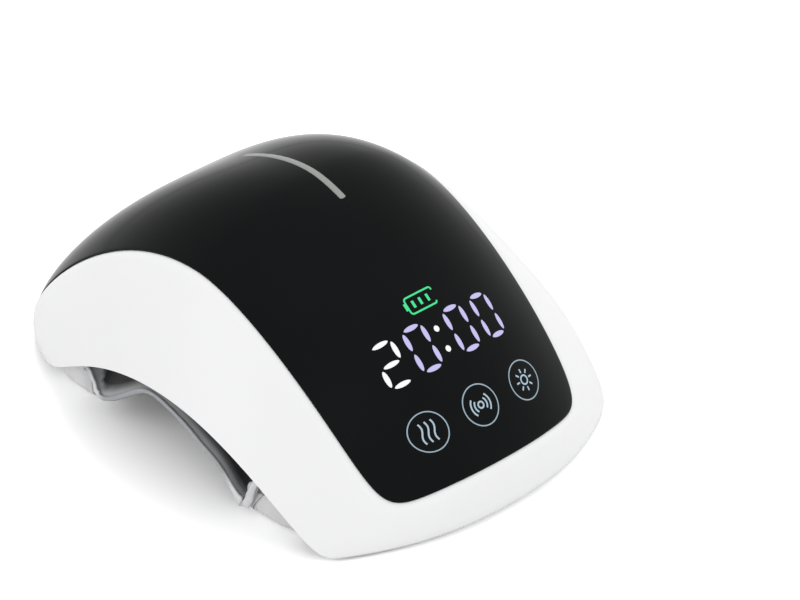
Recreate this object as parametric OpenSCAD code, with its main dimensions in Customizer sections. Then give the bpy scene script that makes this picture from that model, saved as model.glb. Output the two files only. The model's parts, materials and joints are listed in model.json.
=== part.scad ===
// Knee massager: a two-tone domed shell that sits over the knee, with a touch display at the front end.
// Millimetres. +Z up, display end towards -Y, text readable along +X, origin on the floor under the middle.

/* [Overall] */
// Overall length from the front foot to the back foot
length = 204; // [160:1:250]
// Overall width across the side edges at mid length
width = 150; // [120:1:180]
// Overall height at the crest
height = 90; // [75:1:110]
// Width of the shell at its front foot
front_width = 128; // [100:1:160]
// Width of the shell at its back foot
back_width = 114; // [100:1:160]
// Rise of the arched side edge at mid length
side_arch = 36; // [20:1:45]
// Distance from the front foot back to the front corners
front_corner_inset = 16.5; // [5:1:35]
// Distance from the back foot forward to the back corners
back_corner_inset = 33; // [5:1:45]
// How square the shell's front corners are
front_corner_square = 14; // [8:1:30]
// How square the shell's back corners are
back_corner_square = 6; // [6:1:30]
// Gap between the floor and the shell's lower edge at the feet
foot_lift = 1; // [0.5:0.1:3]

/* [Shell and panel] */
// Wall of the white shell
shell_wall = 2.6; // [1.8:0.1:4]
// Thickness of the glossy panel
panel_thickness = 2; // [1.2:0.1:3]
// Gap around the panel edge
panel_gap = 0.25; // [0.1:0.05:0.6]
// Glue gap under the panel
panel_bond = 0.15; // [0.1:0.05:0.4]
// Width of the panel at mid length, as a share of the shell's width
panel_share = 0.677; // [0.55:0.001:0.75]
// How much narrower each side of the panel is at its ends
panel_taper = 9; // [0:0.5:12]
// Width of the ledge that carries the panel
panel_ledge = 4; // [3:0.5:8]
// Width of the light strip
strip_width = 2.6; // [1.5:0.1:5]

/* [Display and keys] */
// Length of the LED block
display_length = 50.8; // [40:0.1:60]
// Width of the LED block
display_width = 19; // [14:0.5:24]
// Thickness of the LED block
display_thickness = 3.2; // [2:0.1:6]
// Pitch of the touch keys
key_pitch = 21.8; // [16:0.1:28]
// Radius of a key ring
key_radius = 7.4; // [5:0.1:10]
// Thickness of the boards
board_thickness = 1.6; // [0.8:0.1:2]

/* [Inner cover and lining] */
// Depth of the inner cover below the shell's outer face at the crest
cover_depth = 24; // [23.5:0.5:30]
// Wall of the inner cover
cover_wall = 2; // [1.5:0.1:3]
// Depth of the inner cover at its rim
cover_rim_depth = 3; // [2.8:0.1:8]
// Thickness of the fabric lining
liner_thickness = 1.6; // [1:0.1:3]
// Depth of the lining below the shell's outer face at its hem
liner_hem_depth = 8; // [6:0.5:14]
// How far the lining's hem hangs down at the sides
hem_sag = 6; // [0:0.5:8]
// Thickness of the knee pad
knee_pad_thickness = 6; // [3:0.5:10]
// Half width of the knee pad
knee_pad_half_width = 20; // [15:0.5:26]
// Height of the foot cushions
cushion_height = 11; // [8:0.5:16]
// Half width of the front foot cushion
cushion_half_width = 64; // [40:1:66]
// Distance from the end of a foot to the inner side of its cushion
cushion_reach = 57; // [44:1:60]
// Width of the binding tape at a cushion's corner
binding_width = 5; // [4:0.5:10]
// Thickness of the binding tape
binding_thickness = 0.8; // [0.5:0.1:2]

/* [Battery, motors and socket] */
// Length of one battery cell
cell_length = 48; // [30:1:60]
// Width of one battery cell
cell_width = 30; // [20:1:40]
// Thickness of one battery cell
cell_thickness = 5.5; // [3:0.5:10]
// Diameter of a motor can
motor_diameter = 12; // [8:0.5:16]
// Length of a motor can
motor_length = 20; // [14:1:30]
// Diameter of a motor shaft
shaft_diameter = 2; // [1:0.1:3]
// Length of an eccentric weight
weight_length = 6; // [4:0.5:8]
// Radial clearance of a weight's bore on its shaft
shaft_fit = 0.03; // [0.01:0.01:0.1]
// Distance of each motor from the centre line, at most
motor_offset = 37; // [30:1:45]
// Width of the charging socket's mouth
socket_width = 9; // [8.5:0.1:10]
// Height of the charging socket's mouth
socket_height = 3.2; // [2.8:0.1:4]

/* [Hidden] */
small = 0.01;

// Crest line of the shell: two cubic curves that meet level at the crest, in shares of the half length
front_run = [-0.955, -1.205, -0.42, -0.02];
back_run = [-0.02, 0.5, 1.145, 0.968];
front_rise = 3;
back_rise = 5;
half_length = length / 2;
panel_half_width = panel_share * width / 2;
// How square the cross-section's shoulders are at the front, the middle and the back
crowns = [2.35, 2.6, 5.8];
side_y0 = front_run[0] * half_length + front_corner_inset;
side_y1 = back_run[3] * half_length - back_corner_inset;
front_key_t = 0.205;
digit_t = 0.275;
panel_t0 = 0.138;
panel_t1 = 0.96;
strip_t0 = 0.435;
strip_t1 = 0.60;

function cubic(p, u) = pow(1 - u, 3) * p[0] + 3 * pow(1 - u, 2) * u * p[1] + 3 * (1 - u) * u * u * p[2]
    + pow(u, 3) * p[3];
function crest_y(t) = half_length * (t < 0.5 ? cubic(front_run, 2 * t) : cubic(back_run, 2 * t - 1));
function crest_z(t) = t < 0.5 ? cubic([foot_lift, foot_lift + front_rise, height, height], 2 * t)
    : cubic([height, height, foot_lift + back_rise, foot_lift], 2 * t - 1);
function side_y(t) = (side_y0 + side_y1) / 2 - (side_y1 - side_y0) / 2 * cos(180 * t);
function side_z(t) = foot_lift + side_arch * pow(sin(180 * t), 2);
function half_width(t) = width / 2 - (width - (t < 0.5 ? front_width : back_width)) / 2 * pow(2 * t - 1, 2);
function panel_half(t) = panel_half_width - panel_taper * pow(2 * t - 1, 2);
function crown(t) = let(v = 2 * t - 1) crowns[1] + (crowns[2] - crowns[0]) / 2 * v
    + ((crowns[0] + crowns[2]) / 2 - crowns[1]) * v * v;
// Outer face of the shell, s from -1 to 1 across and t from 0 to 1 front to back
function skin(s, t) = let(u = 1 - pow(abs(s), crown(t)))
    [s * half_width(t), side_y(t) + (crest_y(t) - side_y(t)) * u,
        side_z(t) + (crest_z(t) - side_z(t)) * u];
// The same face moved inwards towards the origin
function sunk(p, depth) = p * (1 - depth / norm(p));
// Point at a share f (0 to 4) of the way round a unit square whose corners are rounded, more with a lower n
function spread(v) = sin(66 * v) / sin(66);
function square_point(f) = let(k = floor(f), r = spread(2 * (f - k) - 1))
    k == 0 ? [1, r] : k == 1 ? [-r, 1] : k == 2 ? [-1, -r] : [r, -1];
function rounded(f, n) = let(p = square_point(f)) p / pow(pow(abs(p[0]), n) + pow(abs(p[1]), n), 1 / n);
function panel_edge(f) = let(p = rounded(f, 13), t = panel_middle[1] - (panel_t1 - panel_t0) / 2 * p[1])
    [panel_half(t) * p[0] / half_width(t), t];
function shell_edge(f) = let(front = square_point(f)[1] > 0,
    p = rounded(f, front ? front_corner_square : back_corner_square)) [p[0], 0.5 - 0.5 * p[1]];
panel_middle = [0, (panel_t0 + panel_t1) / 2];
// Place on the face at f of the way round: q is 0 at the middle, 1 at the panel's edge and 2 at the
// shell's lower edge
function spot(q, f) = q <= 1 ? panel_middle + q * (panel_edge(f) - panel_middle)
    : panel_edge(f) + (q - 1) * (shell_edge(f) - panel_edge(f));
function face_point(q, f, depth) = let(st = spot(q, f)) sunk(skin(st[0], st[1]), depth);

// How far a place on the lining hangs down, most at the sides' lower edge
function hang(q, t) = [0, 0, hem_sag * pow(max(0, q - 1.2) / 0.78, 2) * pow(sin(180 * t), 2)];

// Closed ring: a loop of [q, depth] pairs carried round the outline
module ring_body(loop, n = 72, slack = 0)
    polyhedron(
        points = [for (i = [0:n - 1]) for (c = loop)
            face_point(c[0], 4 * i / n, c[1]) - slack * hang(c[0], spot(c[0], 4 * i / n)[1])],
        faces = [for (i = [0:n - 1]) for (j = [0:len(loop) - 1])
            let(m = len(loop), a = i * m + j, b = i * m + (j + 1) % m, c = ((i + 1) % n) * m + (j + 1) % m,
                d = ((i + 1) % n) * m + j)
            each halves(a, b, c, d, loop[j][0] <= loop[(j + 1) % m][0])]);
// Two triangles of a four-sided face, split the same way on the layers' outer and inner sides
function halves(a, b, c, d, outward) = outward ? [[a, b, c], [a, c, d]] : [[a, b, d], [b, c, d]];

// Closed dish: a path of [q, depth] pairs that starts and ends at the middle
module dish_body(path, n = 72) {
    m = len(path) - 2;
    polyhedron(
        points = concat([face_point(0, 0, path[0][1])],
            [for (i = [0:n - 1]) for (j = [1:m]) face_point(path[j][0], 4 * i / n, path[j][1])],
            [face_point(0, 0, path[m + 1][1])]),
        faces = concat(
            [for (i = [0:n - 1]) [0, 1 + i * m, 1 + ((i + 1) % n) * m]],
            [for (i = [0:n - 1]) for (j = [0:m - 2])
                let(a = 1 + i * m + j, b = a + 1, d = 1 + ((i + 1) % n) * m + j, c = d + 1)
                each halves(a, b, c, d, path[j + 1][0] <= path[j + 2][0])],
            [for (i = [0:n - 1]) [m * n + 1, 1 + ((i + 1) % n) * m + m - 1, 1 + i * m + m - 1]]));
}

// Slope of the crest line, and a frame on it: local Y along the line, local Z outwards
function slope(t) = atan2(crest_z(t + small) - crest_z(t - small), crest_y(t + small) - crest_y(t - small));
module on_crest(t, depth)
    translate([0, crest_y(t), crest_z(t)])
    rotate([slope(t), 0, 0])
    translate([0, 0, -depth])
    children();

module slab(x, y, z) translate([-x / 2, -y / 2, 0]) cube([x, y, z]);
module rounded_slab(x, y, z, r) linear_extrude(z) union() {
    square([x - 2 * r, y], center = true);
    square([x, y - 2 * r], center = true);
    for (i = [-1, 1]) for (j = [-1, 1]) translate([i * (x / 2 - r), j * (y / 2 - r)]) circle(r, $fn = 32);
}

// Place of a point in the frame on the crest line at t
function in_frame(p, t) = let(d = p - skin(0, t), c = cos(slope(t)), s = sin(slope(t)))
    [d[0], d[1] * c + d[2] * s, d[2] * c - d[1] * s];
function pace(t) = norm(skin(0, t + small) - skin(0, t - small)) / (2 * small);
// About the q of a place on the face
function past(v, edge, end) = v < edge ? v / edge : 1 + (v - edge) / (end - edge);
function q_at(s, u) = let(m = panel_middle[1]) max(past(abs(s), panel_half(u) / half_width(u), 1),
    u < m ? past(m - u, m - panel_t0, m) : past(u - m, panel_t1 - m, 1 - m));
// Depth of a layer: a number, or undef for the inner cover, which rises towards its rim
function layer_depth(layer, s, u) = is_undef(layer) ? cover_at(q_at(s, u)) : layer;
// How far below the frame a layer lies at x across and a along, found by stepping to it
function drop(x, a, t, layer, s, u, k = 12) =
    let(s1 = is_undef(s) ? x / half_width(t) : s, u1 = is_undef(u) ? t + a / pace(t) : u,
        p = in_frame(sunk(skin(s1, u1), layer_depth(layer, s1, u1)), t))
    k == 0 ? -p[2] : drop(x, a, t, layer, s1 + (x - p[0]) / half_width(t), u1 + (a - p[1]) / pace(t), k - 1);
function corner_drops(x, a, hx, ha, t, layer) =
    [for (i = [-1, 0, 1]) for (j = [-1, 0, 1]) drop(x + i * hx, a + j * ha, t, layer)];
// Depth that stays under a layer over a whole footprint, and depth that stays above it
function under(x, a, hx, ha, t, layer) = max(corner_drops(x, a, hx, ha, t, layer)) + clear;
function above(x, a, hx, ha, t, layer) = min(corner_drops(x, a, hx, ha, t, layer)) - clear;

clear = 0.3;
screw_diameter = 2.2;
screw_head = 4;
screw_bite = 5;
ledge_thickness = 1.6;
ledge_q = 1 - panel_ledge / panel_half_width;
edge_q = 1 - panel_gap / panel_half_width;
seat_depth = panel_thickness + panel_bond;
roof_depth = seat_depth + ledge_thickness;
cover_under = cover_depth + cover_wall;
film_depth = cover_under + clear;
film_thickness = 0.5;
liner_space = 2.2;
liner_depth = cover_under + liner_space;
liner_under = liner_depth + liner_thickness;
function cover_at(q) = cover_depth + (cover_rim_depth - cover_depth) * pow(max(0, q - 0.8) / 1.15, 1.3);
function liner_at(q) = liner_depth + (liner_hem_depth - liner_depth) * pow(max(0, q - 0.85) / 1.13, 1.6);
light_x = 12;
light_y = 28;
light_t = panel_middle[1];
window_q = max((light_x / 2 + 3.5) / panel_half_width, (light_y + 3) / pace(light_t) / (panel_t1 - panel_t0))
    / (1 - liner_under / height);
pad_q = knee_pad_half_width / (panel_half_width * (1 - liner_under / height));
inner_q = [window_q, window_q + 0.08, (window_q + pad_q) / 2, pad_q];
cover_q = concat([0, window_q / 2], inner_q, [0.8, 1.0, 1.2, 1.45, 1.7, 1.95]);
liner_q = concat(inner_q, [0.8, 1.0, 1.2, 1.45, 1.7, 1.98]);
inner_n = 56;

// Display: board under the panel, with the digits above and the keys below on the sloping front face
display_t = (front_key_t + digit_t) / 2;
row_gap = norm(skin(0, digit_t) - skin(0, front_key_t));
display_post_x = display_length / 2 + screw_head / 2 + 2 * clear;
display_board_x = 2 * display_post_x + 6;
display_board_y = row_gap + display_width / 2 + key_radius + 5;
display_board_a = (display_width / 2 - key_radius) / 2;
display_top = under(0, row_gap / 2, display_length / 2, display_width / 2, display_t, seat_depth);
display_board_top = max(display_top + display_thickness,
    under(0, display_board_a, display_board_x / 2, display_board_y / 2, display_t, roof_depth));
display_post_a = [display_board_a - display_board_y / 2 + 3.5, display_board_a + display_board_y / 2 - 3.5];

// Main board at the crest
motor_x = min(motor_offset, panel_half_width - 13.5);
main_x = min(50, 2 * motor_x - motor_diameter - 6);
main_y = 38;
main_t = 0.5;
part_height = 3;
main_top = max(under(0, 0, main_x / 2, main_y / 2, main_t, seat_depth), seat_depth + part_height + 3);
main_post_x = main_x / 2 - 3.5;
main_post_a = main_y / 2 - 3.5;

// Battery on the sloping back face
battery_t = 0.74;
tray_wall = 1.2;
tray_x = 2 * cell_width + 3 * tray_wall + 4 * clear;
tray_y = cell_length + 2 * tray_wall + 2 * clear;
tray_top = under(0, 0, tray_x / 2, tray_y / 2, battery_t, roof_depth);
tray_height = cell_thickness + tray_wall + clear;

// Motors on both sides of the crest, their shafts along Y
motor_t = 0.5;
clamp_wall = 1.6;
clamp_side = motor_diameter + 2 * clamp_wall;
clamp_length = 12;
clamp_a = -3;
motor_depth = above(motor_x, clamp_a, clamp_side / 2, clamp_length / 2, motor_t) - clamp_side / 2;
motor_start = -motor_length / 2 - 3;
weight_radius = motor_diameter / 2 - 0.5;

// Socket in the right side band
socket_s = 0.80;
socket_t = 0.5;
socket_place = skin(socket_s, socket_t);
socket_lean = let(d = skin(socket_s + small, socket_t) - skin(socket_s - small, socket_t)) atan2(-d[2], d[0]);
socket_recess = 0.6;
socket_length = 7.2;
socket_skin = 0.35;

// Cover screws
cover_screw_q = 0.965;
boss_diameter = 6;
// The front screws step forward where the display board's posts come near them
boss_end_x = cover_screw_q * panel_half(0.3) * (1 - cover_depth / norm(skin(0.6, 0.3)));
front_screw_t = 0.3 - 0.01 * min(5, max(0, display_post_x + boss_diameter / 2 - boss_end_x));
boss_seat = 1.6 + 0.1 * max(0, cover_depth - 24);
cover_screw_spots = [for (i = [-1, 1]) for (t = [front_screw_t, 0.66]) [i, t]];
function side_share(q, t) = q * panel_half(t) / half_width(t);

// Frame on the side band whose local Z runs straight out from the origin
module screw_place(c) {
    p = skin(c[0] * side_share(cover_screw_q, c[1]), c[1]);
    translate(p) rotate([0, acos(p[2] / norm(p)), atan2(p[1], p[0])]) children();
}
module on_side() translate(socket_place) rotate([0, socket_lean, 0]) children();
module slot(w, h, length) linear_extrude(length) union() {
    square([h, w - h], center = true);
    for (j = [-1, 1]) translate([0, j * (w - h) / 2]) circle(h / 2, $fn = 32);
}
module outer_shell() color("white") difference() {
    shell_wall_body();
    on_side() translate([0, 0, -shell_wall - 3])
        slot(socket_width + 2 * socket_skin + 2 * clear, socket_height + 2 * socket_skin + 2 * clear, 12);
}
module shell_wall_body() ring_body(concat(
    [[ledge_q, seat_depth], [edge_q, seat_depth], [1, seat_depth]],
    [for (q = [1, 1.1, 1.25, 1.4, 1.55, 1.7, 1.85, 1.95, 2]) [q, 0]],
    [for (q = [2, 1.95, 1.85, 1.7, 1.55, 1.4, 1.25, 1.1]) [q, shell_wall]],
    [[1.04, roof_depth], [ledge_q, roof_depth]]));
module touch_panel() color([0.05, 0.05, 0.06]) dish_body(concat(
    [for (q = [0, 0.07, 0.14, 0.21, 0.3, 0.4, 0.5, 0.62, 0.75, ledge_q, edge_q]) [q, 0]],
    [for (q = [edge_q, ledge_q, 0.75, 0.62, 0.5, 0.4, 0.3, 0.21, 0.14, 0.07, 0]) [q, panel_thickness]]));
// Thin inlay that follows the crest line, just proud of the panel
module light_strip() color([0.6, 0.62, 0.6]) band(strip_width / 2, strip_t0, strip_t1, -0.3, -0.05, 20);
module strip_board() color([0.1, 0.35, 0.2])
    band(4, strip_t0, strip_t1, seat_depth + clear, seat_depth + clear + 0.4, 12);
module band(half, t0, t1, top, bottom, n) {
    rows = [for (k = [0:n]) t0 + (t1 - t0) * k / n];
    polyhedron(
        points = [for (t = rows) for (c = [[-1, top], [1, top], [1, bottom], [-1, bottom]])
            sunk(skin(c[0] * half / half_width(t), t), c[1])],
        faces = concat([[0, 1, 2], [0, 2, 3]],
            [for (k = [0:n - 1]) for (j = [0:3])
                let(a = 4 * k + j, b = 4 * k + (j + 1) % 4, d = a + 4, c = b + 4)
                each [[a, c, b], [a, d, c]]],
            [[4 * n, 4 * n + 2, 4 * n + 1], [4 * n, 4 * n + 3, 4 * n + 2]]));
}
module display_board() color([0.05, 0.3, 0.15]) on_crest(display_t, display_board_top + board_thickness)
    difference() {
        translate([0, display_board_a, 0]) slab(display_board_x, display_board_y, board_thickness);
        for (i = [-1, 1]) for (a = display_post_a) translate([i * display_post_x, a, -1])
            cylinder(d = screw_diameter + 0.4, h = board_thickness + 2, $fn = 24);
    }
module led_display() color([0.85, 0.85, 0.8]) on_crest(display_t, display_board_top)
    translate([0, row_gap / 2, 0]) slab(display_length, display_width, display_board_top - display_top);
module touch_foams() color([0.25, 0.25, 0.27]) for (i = [-1, 0, 1])
    on_crest(display_t, display_board_top)
    translate([i * key_pitch, -row_gap / 2, 0])
    cylinder(r = key_radius * 0.6, h = display_board_top - under(i * key_pitch, -row_gap / 2,
        key_radius * 0.6, key_radius * 0.6, display_t, panel_thickness), $fn = 32);
module main_board() color([0.05, 0.3, 0.15]) on_crest(main_t, main_top + board_thickness)
    difference() {
        slab(main_x, main_y, board_thickness);
        for (i = [-1, 1]) for (j = [-1, 1]) translate([i * main_post_x, j * main_post_a, -1])
            cylinder(d = screw_diameter + 0.4, h = board_thickness + 2, $fn = 24);
    }
module board_parts() color([0.12, 0.12, 0.13]) on_crest(main_t, main_top) {
    translate([-9, 2, 0]) slab(9, 9, 1.2);
    translate([9, 6, 0]) slab(7, 7, part_height);
    translate([6, -8, 0]) slab(5, 4, 1.4);
    translate([-10, -9, 0]) slab(8, 4, part_height);
}
module buzzer() color([0.1, 0.1, 0.1]) on_crest(main_t, main_top + board_thickness + 3)
    translate([10, 0, 0]) cylinder(r = 4.5, h = 3, $fn = 32);
module battery_cells() color([0.75, 0.77, 0.8]) for (i = [-1, 1])
    on_crest(battery_t, tray_top + tray_height - tray_wall)
    translate([i * (cell_width / 2 + tray_wall / 2 + clear), 0, 0])
    slab(cell_width, cell_length, cell_thickness);
module battery_tray() color([0.2, 0.2, 0.22]) on_crest(battery_t, tray_top + tray_height)
    difference() {
        slab(tray_x, tray_y, tray_height);
        for (i = [-1, 1]) translate([i * (cell_width / 2 + tray_wall / 2 + clear), 0, tray_wall])
            slab(cell_width + 2 * clear, cell_length + 2 * clear, tray_height);
    }
module charging_port() color([0.7, 0.7, 0.72]) on_side()
    translate([0, 0, -socket_recess - socket_length]) union() {
    difference() {
        slot(socket_width + 2 * socket_skin, socket_height + 2 * socket_skin, socket_length);
        translate([0, 0, 1]) slot(socket_width, socket_height, socket_length);
    }
    translate([0, 0, 0.5]) slab(0.7, socket_width - 2.4, socket_length - 1.5);
}
module charging_board() color([0.05, 0.3, 0.15]) on_side()
    translate([socket_height / 2 + socket_skin, -7, -socket_recess - socket_length - 2])
    cube([1, 14, socket_length + socket_recess + 0.3 - shell_wall]);
module inner_cover() color([0.3, 0.31, 0.33]) difference() {
    dish_body(concat(
        [for (q = cover_q) [q, cover_at(q)]],
        [for (k = [len(cover_q) - 1:-1:0]) [cover_q[k], cover_at(cover_q[k]) + cover_wall]]), inner_n);
    for (c = cover_screw_spots) screw_place(c) translate([0, 0, -cover_at(cover_screw_q) - 6])
        cylinder(d = screw_diameter + 0.4, h = 10, $fn = 24);
}
module cover_bosses() color("white") for (c = cover_screw_spots) screw_place(c)
    translate([0, 0, -cover_at(cover_screw_q) + boss_seat])
    difference() {
        cylinder(d = boss_diameter, h = cover_at(cover_screw_q) - roof_depth - 1.5 - boss_seat, $fn = 32);
        translate([0, 0, -1]) cylinder(d = screw_diameter, h = screw_bite + 1.5, $fn = 24);
    }
module cover_screws() color([0.6, 0.6, 0.62]) for (c = cover_screw_spots) screw_place(c)
    translate([0, 0, -cover_at(cover_screw_q) - cover_wall - 1.3]) union() {
        translate([0, 0, -1.1]) cylinder(d = screw_head, h = 1.1, $fn = 32);
        cylinder(d = screw_diameter - 0.1, h = cover_wall + 1.3 + boss_seat + screw_bite - 1, $fn = 24);
    }
module board_posts() color([0.3, 0.31, 0.33]) {
    on_crest(display_t, 0) for (i = [-1, 1]) for (a = display_post_a)
        post(i * display_post_x, a, display_board_top + board_thickness, display_t);
    on_crest(main_t, 0) for (i = [-1, 1]) for (j = [-1, 1])
        post(i * main_post_x, j * main_post_a, main_top + board_thickness, main_t);
    on_crest(battery_t, 0) for (i = [-1, 1]) for (j = [-1, 1])
        solid_post(i * (tray_x / 2 - 5), j * (tray_y / 2 - 5), tray_top + tray_height, battery_t);
}
module post(x, a, top, t) difference() {
    solid_post(x, a, top, t);
    translate([x, a, -top - screw_bite]) cylinder(d = screw_diameter, h = screw_bite + 1, $fn = 24);
}
module solid_post(x, a, top, t) let(foot = above(x, a, 3.1, 3.1, t))
    translate([x, a, -foot]) cylinder(d = 5.2, h = foot - top, $fn = 32);
module board_screws() color([0.6, 0.6, 0.62]) {
    on_crest(display_t, display_board_top) for (i = [-1, 1]) for (a = display_post_a)
        translate([i * display_post_x, a, 0]) board_screw();
    on_crest(main_t, main_top) for (i = [-1, 1]) for (j = [-1, 1])
        translate([i * main_post_x, j * main_post_a, 0]) board_screw();
}
module board_screw() union() {
    cylinder(d = screw_head, h = 1.2, $fn = 32);
    translate([0, 0, 1 - board_thickness - screw_bite]) cylinder(d = screw_diameter - 0.1,
        h = board_thickness + screw_bite - 0.5, $fn = 24);
}

// Motor with its shaft's bearing bore at the back end, drawn with the shaft axis along local Y
module motor(side) color([0.72, 0.73, 0.75]) on_crest(motor_t, motor_depth) translate([side * motor_x, 0, 0])
    rotate([-90, 0, 0]) translate([0, 0, motor_start]) difference() {
        cylinder(d = motor_diameter, h = motor_length, $fn = 48);
        translate([0, 0, motor_length - 6]) cylinder(r = shaft_diameter / 2 + shaft_fit, h = 7, $fn = 32);
    }
module weight(side) color([0.55, 0.5, 0.4]) on_crest(motor_t, motor_depth) translate([side * motor_x, 0, 0])
    rotate([-90, 0, 0]) translate([0, 0, motor_start + motor_length]) union() {
        translate([0, 0, -5.5]) cylinder(d = shaft_diameter, h = 5.5 + 1 + weight_length, $fn = 32);
        translate([0, 0, 1]) linear_extrude(weight_length) union() {
            circle(2.2, $fn = 32);
            intersection() {
                circle(weight_radius, $fn = 48);
                translate([-weight_radius, 0]) square([2 * weight_radius, weight_radius]);
            }
        }
    }
module motor_left() motor(-1);
module motor_right() motor(1);
module weight_left() weight(-1);
module weight_right() weight(1);
module motor_clamps() color([0.3, 0.31, 0.33]) on_crest(motor_t, motor_depth) for (i = [-1, 1])
    translate([i * motor_x, clamp_a + clamp_length / 2, 0]) rotate([90, 0, 0]) difference() {
        linear_extrude(clamp_length) union() {
            circle(d = clamp_side, $fn = 48);
            translate([-clamp_side / 2, -clamp_side / 2]) square([clamp_side, clamp_side / 2]);
        }
        translate([0, 0, -1]) cylinder(r = motor_diameter / 2 + 0.05, h = clamp_length + 2, $fn = 48);
    }

// Knee side: heater, red lights, pad, lining and the foot cushions
module heating_film() color([0.75, 0.45, 0.2]) ring_body(concat(
    [for (q = inner_q) [q, film_depth]],
    [for (k = [3:-1:0]) [inner_q[k], film_depth + film_thickness]]), inner_n);
module fabric_liner() color([0.7, 0.71, 0.73]) ring_body(concat(
    [for (q = liner_q) [q, liner_at(q)]],
    [for (k = [len(liner_q) - 1:-1:0]) [liner_q[k], liner_at(liner_q[k]) + liner_thickness]]), inner_n, 1);
module knee_pad() color([0.55, 0.56, 0.58]) ring_body(concat(
    [for (q = inner_q) [q, liner_under + clear]],
    [[pad_q, liner_under + clear + knee_pad_thickness * 0.5]],
    [[inner_q[2], liner_under + clear + knee_pad_thickness],
        [inner_q[1], liner_under + clear + knee_pad_thickness],
        [window_q, liner_under + clear + knee_pad_thickness * 0.8]]), inner_n);
led_height = 0.9;
lens_thickness = 1.5;
light_shift = 2.5;
light_top = under(0, 0, light_x / 2, light_y / 2, light_t, cover_under) + 0.4;
module light_board() color([0.9, 0.9, 0.88]) on_crest(light_t, light_top + 1.2)
    slab(light_x, light_y, 1.2);
module red_leds() color([0.8, 0.15, 0.1]) on_crest(light_t, light_top + 1.2 + led_height)
    for (i = [-1, 1]) for (j = [-1, 0, 1]) translate([i * 3, j * 6.5 + light_shift, 0])
        slab(2.4, 2.8, led_height);
module light_lens() color([0.9, 0.6, 0.6]) on_crest(light_t, light_top + 1.2 + led_height + lens_thickness)
    translate([0, light_shift, 0]) rounded_slab(light_x, light_y - 7, lens_thickness, 3);
module heat_fuse() color([0.85, 0.85, 0.8]) on_crest(light_t, light_top + 1.2 + 1.5)
    translate([0, -light_y / 2 + 2.5, 0]) slab(8, 3.5, 1.5);

// Foot cushion: flat on the floor, its outer side up against the lining, its outer edge stepped lower
function lining_y(x, z, side, s, u, k = 16) =
    let(s1 = is_undef(s) ? x / half_width(0.1) : s, u1 = is_undef(u) ? 0.5 + side * 0.41 : u,
        p = sunk(skin(s1, u1), liner_at(q_at(s1, u1)) + liner_thickness) - hang(q_at(s1, u1), u1))
    k == 0 ? p[1] : lining_y(x, z, side, s1 + (x - p[0]) / half_width(u1),
        u1 - side * (z - p[2]) / 200, k - 1);
function cushion_inner(side) = skin(0, side < 0 ? 0 : 1)[1] - side * cushion_reach;
function cushion_half(side) = cushion_half_width - (side > 0 ? (front_width - back_width) / 2 + 2 : 0);
function cushion_edge(side, z) = [for (k = [-9:9]) let(x = k / 9 * cushion_half(side),
    y = lining_y(x, z, side) - side * (1 + 1.8 * pow(k / 9, 2)), least = cushion_inner(side) + side * 4)
    [x, side > 0 ? max(y, least) : min(y, least)]];
module cushion_slab(side, z, h) linear_extrude(h) polygon(concat(cushion_edge(side, z),
    [[cushion_half(side), cushion_inner(side)], [-cushion_half(side), cushion_inner(side)]]));
module cushion(side) union() {
    cushion_slab(side, cushion_height - cushion_step, cushion_height - cushion_step);
    translate([0, 0, cushion_height - cushion_step]) cushion_slab(side, cushion_height, cushion_step);
}
cushion_step = 3.8;
module front_cushion() color([0.74, 0.75, 0.77]) cushion(-1);
module rear_cushion() color([0.74, 0.75, 0.77]) cushion(1);
module binding(side) for (i = [-1, 1])
    translate([i * (cushion_half(side) + binding_thickness / 2),
        cushion_inner(side) + side * binding_width / 2, 0])
        slab(binding_thickness, binding_width, cushion_height);
module front_binding() color([0.6, 0.61, 0.63]) binding(-1);
module rear_binding() color([0.6, 0.61, 0.63]) binding(1);

// Flat leads between the boards, drawn as a bent strip in the plane of the crest line
module ribbon(points, wide, thick) rotate([90, 0, 90]) linear_extrude(wide, center = true)
    polygon(concat([for (p = points) p], [for (k = [len(points) - 1:-1:0]) points[k] - [0, thick]]));
function in_plane(t, a, depth) = let(c = cos(slope(t)), s = sin(slope(t)))
    [crest_y(t) + a * c + depth * s, crest_z(t) + a * s - depth * c];
module display_ribbon() color([0.85, 0.6, 0.25]) let(
    p = in_plane(display_t, display_board_a + display_board_y / 2 - 8,
        display_board_top + board_thickness + clear),
    q = in_plane(main_t, -main_y / 2 + 6, main_top + board_thickness + clear))
    ribbon([p, p + [4, -3], q + [-5, -3], q], 10, 0.5);
module battery_leads() color([0.7, 0.15, 0.12]) let(
    p = in_plane(battery_t, -tray_y / 2 + 8, tray_top + tray_height + clear),
    q = in_plane(main_t, main_y / 2 - 6, main_top + board_thickness + clear))
    ribbon([q, q + [5, -3], p + [-4, -3], p], 5, 1.2);

outer_shell();
touch_panel();
light_strip();
strip_board();
display_board();
led_display();
touch_foams();
main_board();
board_parts();
buzzer();
battery_cells();
battery_tray();
charging_port();
charging_board();
inner_cover();
cover_bosses();
board_posts();
board_screws();
cover_screws();
motor_left();
motor_right();
weight_left();
weight_right();
motor_clamps();
heating_film();
heat_fuse();
light_board();
red_leds();
light_lens();
knee_pad();
fabric_liner();
front_cushion();
rear_cushion();
front_binding();
rear_binding();
battery_leads();
display_ribbon();
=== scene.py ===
import bpy, bmesh, json, math
from mathutils import Vector, Matrix, noise
from mathutils.bvhtree import BVHTree


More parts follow.
